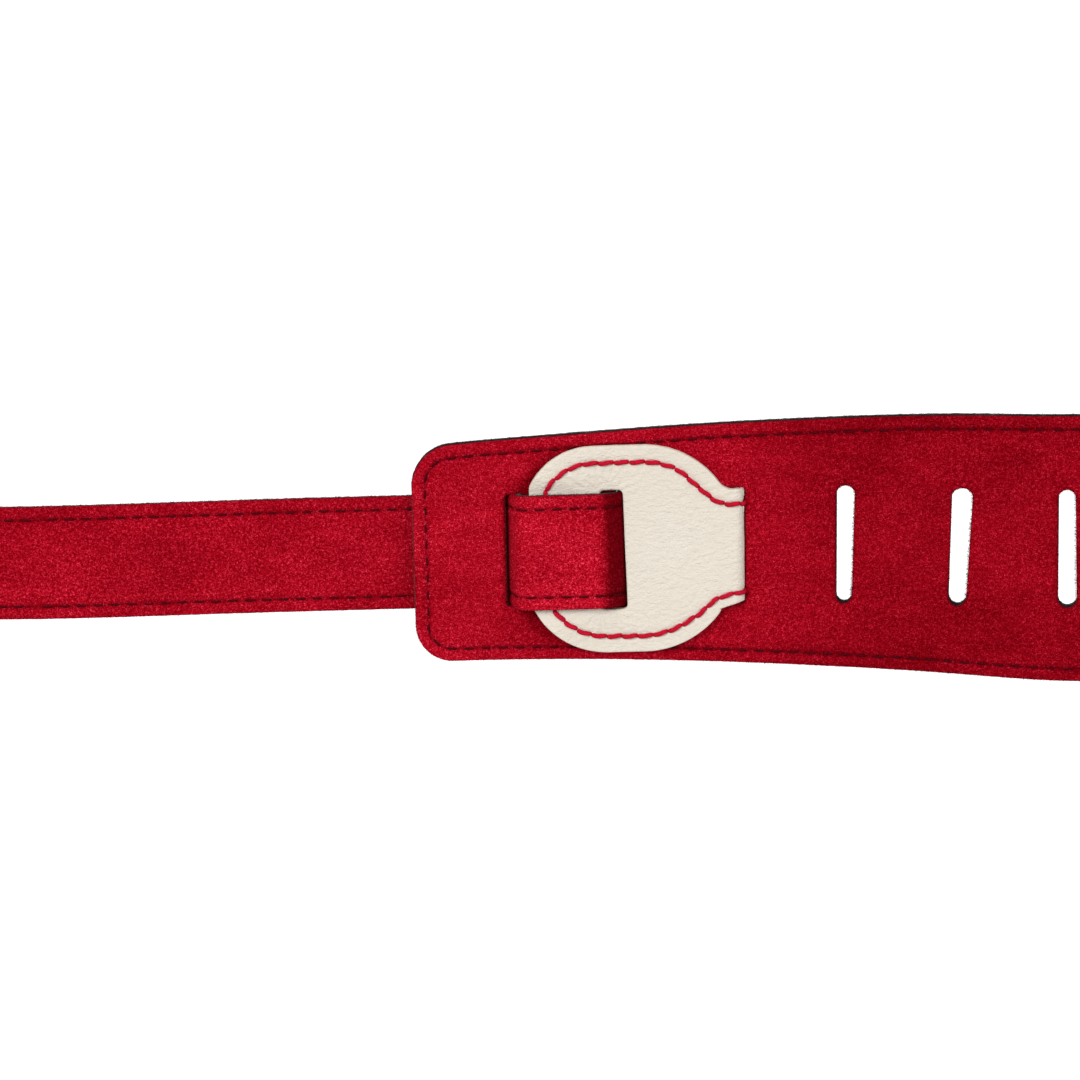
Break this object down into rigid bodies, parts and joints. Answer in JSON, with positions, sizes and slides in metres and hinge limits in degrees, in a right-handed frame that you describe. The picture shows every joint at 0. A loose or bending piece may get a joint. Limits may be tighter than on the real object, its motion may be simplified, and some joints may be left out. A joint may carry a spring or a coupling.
{
  "type": "guitar strap",
  "caption": "Suede guitar strap: a slotted shoulder band, a narrow tail woven through the slots for length, a leather lock tab that holds the weave, and a button-hole tab at each end.",
  "frame": {"origin": "under the middle of the strap laid out straight, on the surface that it lies on", "axes": "+X along the strap toward the band's button tab, +Y across it, +Z out of the suede face"},
  "size_m": [1.244, 0.07, 0.0122],
  "materials": {
    "red_suede": "deep red suede, short nap",
    "core": "dark interlining, cut edge",
    "tape": "dark woven reinforcing tape",
    "backing": "black brushed backing, fuzzy",
    "seam_thread": "dark red sewing thread, sunk in the nap",
    "cream_leather": "soft grained cream leather, satin",
    "cream_lining": "soft cream leather, flesh side",
    "cream_stitching": "thick red sewing thread"
  },
  "bodies": {
    "band_front": {"band_front_face": "red_suede", "band_front_core": "core", "band_front_backing": "backing", "band_front_thread": "seam_thread"},
    "band_shoulder_a": {"band_shoulder_a_face": "red_suede", "band_shoulder_a_core": "core", "band_shoulder_a_backing": "backing", "band_shoulder_a_thread": "seam_thread"},
    "band_shoulder_b": {"band_shoulder_b_face": "red_suede", "band_shoulder_b_core": "core", "band_shoulder_b_backing": "backing", "band_shoulder_b_thread": "seam_thread"},
    "band_rear": {"band_rear_face": "red_suede", "band_rear_core": "core", "band_rear_backing": "backing", "band_rear_thread": "seam_thread", "band_tab_front": "cream_leather", "band_tab_lining": "cream_lining", "band_tab_stitching": "cream_stitching"},
    "tail_weave": {"tail_weave_face": "red_suede", "tail_weave_tape": "tape", "tail_weave_backing": "backing", "tail_weave_thread": "seam_thread", "lock_tab_front": "cream_leather", "lock_tab_lining": "cream_lining", "lock_tab_stitching": "cream_stitching"},
    "tail_mid": {"tail_mid_face": "red_suede", "tail_mid_tape": "tape", "tail_mid_backing": "backing", "tail_mid_thread": "seam_thread"},
    "tail_end": {"tail_end_face": "red_suede", "tail_end_tape": "tape", "tail_end_backing": "backing", "tail_end_thread": "seam_thread", "tail_tab_front": "cream_leather", "tail_tab_lining": "cream_lining", "tail_tab_stitching": "cream_stitching"}
  },
  "joints": [
    {"name": "length_adjust", "type": "slide", "parent": "band_front", "child": "tail_weave", "axis": [-1, 0, 0], "range_m": [-0.171, 0]},
    {"name": "band_flex_a", "type": "hinge", "parent": "band_front", "child": "band_shoulder_a", "pos_m": [0.175, 0, 0.0018], "axis": [0, -1, 0], "range_deg": [-60, 60]},
    {"name": "band_flex_b", "type": "hinge", "parent": "band_shoulder_a", "child": "band_shoulder_b", "pos_m": [0.3, 0, 0.0018], "axis": [0, -1, 0], "range_deg": [-60, 60]},
    {"name": "band_flex_c", "type": "hinge", "parent": "band_shoulder_b", "child": "band_rear", "pos_m": [0.425, 0, 0.0018], "axis": [0, -1, 0], "range_deg": [-60, 60]},
    {"name": "tail_flex_a", "type": "hinge", "parent": "tail_weave", "child": "tail_mid", "pos_m": [-0.234, 0, 0.0012], "axis": [0, 1, 0], "range_deg": [-60, 60]},
    {"name": "tail_flex_b", "type": "hinge", "parent": "tail_mid", "child": "tail_end", "pos_m": [-0.405, 0, 0.0012], "axis": [0, 1, 0], "range_deg": [-60, 60]}
  ]
}
